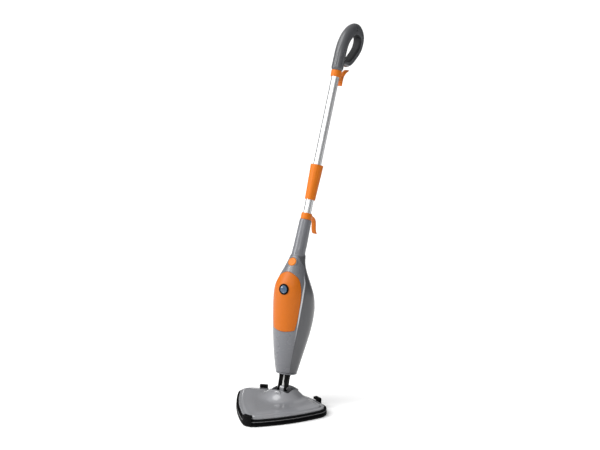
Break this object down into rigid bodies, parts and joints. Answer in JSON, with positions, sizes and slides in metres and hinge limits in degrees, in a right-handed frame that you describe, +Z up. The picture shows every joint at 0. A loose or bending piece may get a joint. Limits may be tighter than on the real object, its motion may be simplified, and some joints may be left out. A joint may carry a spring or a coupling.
{
  "type": "steam mop",
  "caption": "Upright steam mop: triangular floor head on a two-way joint, rounded boiler body, aluminium pole with cord hooks and a loop handle.",
  "frame": {"origin": "on the floor under the middle of the triangular head, on the glider's centre bars", "axes": "+Z up, -Y towards the head's tip, +X to the side"},
  "size_m": [0.306, 0.6489, 1.1128],
  "materials": {
    "grey_gloss_shell": "semi-gloss moulded ABS",
    "dark_grey_shell": "semi-gloss moulded ABS, darker",
    "orange_plastic": "semi-gloss moulded ABS",
    "black_plastic": "fine satin texture",
    "black_rubber": "soft matt",
    "brushed_aluminium": "anodised, fine drawn finish",
    "steel": "turned",
    "brass": "turned",
    "cast_aluminium": "die cast",
    "blue_lens": "tinted lens over a pilot lamp",
    "board_green": "circuit board",
    "clear_tank": "translucent",
    "silicone": "translucent silicone",
    "hook_fabric": "hook fastener strip"
  },
  "bodies": {
    "head": {"carpet_glider": "black_plastic", "rubber_bumper": "black_rubber", "base_plate": "black_plastic", "bearing_caps": "grey_gloss_shell", "head_cover": "grey_gloss_shell", "front_clip": "black_plastic", "rear_clips": "black_plastic", "hook_strips": "hook_fabric", "steam_nozzles": "brass", "steam_manifold": "black_plastic", "head_screws": "steel"},
    "swivel": {"swivel_drum": "grey_gloss_shell", "tongue_bush": "brass"},
    "upright": {"yoke": "black_plastic", "pitch_pin": "steel", "pin_clips": "steel", "steam_pipe": "silicone", "front_shell": "grey_gloss_shell", "rear_shell": "dark_grey_shell", "front_panel": "orange_plastic", "bottom_ring": "grey_gloss_shell", "switch_bezel": "black_plastic", "switch_block": "black_plastic", "circuit_board": "board_green", "filler_neck": "black_plastic", "cord_gland": "black_rubber", "water_tank": "clear_tank", "filler_pipe": "silicone", "pump": "black_plastic", "heater_block": "cast_aluminium", "thermostat": "steel", "thermal_fuse": "steel", "water_hoses": "silicone", "body_screws": "steel", "neck_cover": "grey_gloss_shell", "lower_collar": "orange_plastic", "lower_tube": "brushed_aluminium", "upper_tube": "brushed_aluminium", "coupling_core": "black_plastic", "coupling_sleeve": "orange_plastic", "upper_collar": "orange_plastic", "hook_screw": "steel", "handle_right": "grey_gloss_shell", "handle_left": "grey_gloss_shell", "handle_screws": "steel"},
    "switch_button": {"switch_button": "blue_lens"},
    "lock_button": {"lock_button": "black_plastic"},
    "cap_plug": {"cap_plug": "black_plastic", "cap_seal": "black_rubber"},
    "cap_knob": {"filler_cap": "orange_plastic"},
    "cord_hook": {"turning_hook": "orange_plastic"}
  },
  "joints": [
    {"name": "swivel_roll", "type": "hinge", "parent": "head", "child": "swivel", "pos_m": [0, 0.08, 0.04], "axis": [0, 1, 0], "range_deg": [-35, 35]},
    {"name": "neck_pitch", "type": "hinge", "parent": "swivel", "child": "upright", "pos_m": [0, 0.08, 0.057], "axis": [-1, 0, 0], "range_deg": [-22.4, 48]},
    {"name": "switch_press", "type": "slide", "parent": "upright", "child": "switch_button", "axis": [0, 0.9799, -0.1994], "range_m": [0, 0.002], "stiffness_N_per_m": 900, "springref_m": -0.002},
    {"name": "lock_press", "type": "slide", "parent": "upright", "child": "lock_button", "axis": [0, -0.9245, 0.3811], "range_m": [0, 0.003], "stiffness_N_per_m": 700, "springref_m": -0.002},
    {"name": "cap_lift", "type": "slide", "parent": "upright", "child": "cap_plug", "axis": [0, -0.7771, 0.6293], "range_m": [0, 0.03]},
    {"name": "cap_turn", "type": "hinge", "parent": "cap_plug", "child": "cap_knob", "pos_m": [0, 0.13364, 0.44102], "axis": [0, -0.7771, 0.6293], "range_deg": [0, 90]},
    {"name": "hook_turn", "type": "hinge", "parent": "upright", "child": "cord_hook", "pos_m": [0, 0.40917, 0.95032], "axis": [0, 0.9245, -0.3811], "range_deg": [0, 180]}
  ]
}
